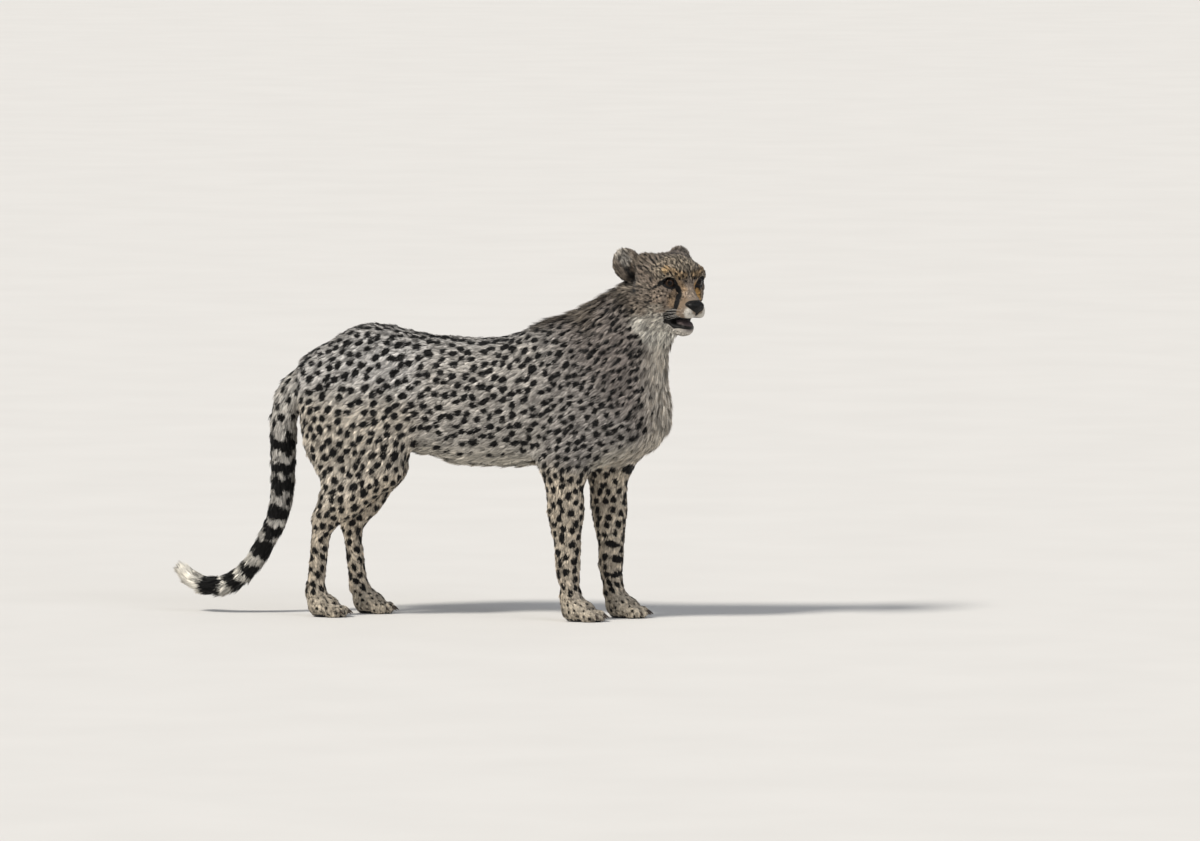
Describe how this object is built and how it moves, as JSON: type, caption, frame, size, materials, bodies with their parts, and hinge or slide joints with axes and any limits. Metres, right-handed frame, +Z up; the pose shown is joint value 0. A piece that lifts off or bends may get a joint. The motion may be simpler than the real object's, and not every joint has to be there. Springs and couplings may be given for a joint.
{
  "type": "cheetah",
  "caption": "Young cheetah standing alert, head turned to its right, mouth a little open and tail hanging, as a still life-size museum model.",
  "frame": {"origin": "on the floor, under the middle of the outline's box", "axes": "+X towards the animal's front, +Y to its left, +Z up"},
  "size_m": [1.094, 0.1936, 0.7427],
  "materials": {
    "coat": "short dense fur, buff with black spots",
    "pale_coat": "long soft fur, off-white",
    "ear_coat": "short fur, dark grey with a buff rim",
    "nose_leather": "pebbled, moist satin",
    "eye": "polished, amber iris with a round black pupil"
  },
  "bodies": {
    "root": {"neck": "coat", "chest": "coat", "loin": "coat", "hips": "coat", "tail_base": "coat", "tail_middle": "coat", "tail_tip": "pale_coat", "head": "coat", "lower_jaw": "pale_coat", "nose": "nose_leather", "eye_left": "eye", "eye_right": "eye", "ear_left": "ear_coat", "ear_right": "ear_coat", "forearm_left": "coat", "forearm_right": "coat", "forepaw_left": "coat", "forepaw_right": "coat", "thigh_left": "coat", "thigh_right": "coat", "shank_left": "coat", "shank_right": "coat", "hindpaw_left": "coat", "hindpaw_right": "coat"}
  },
  "joints": []
}
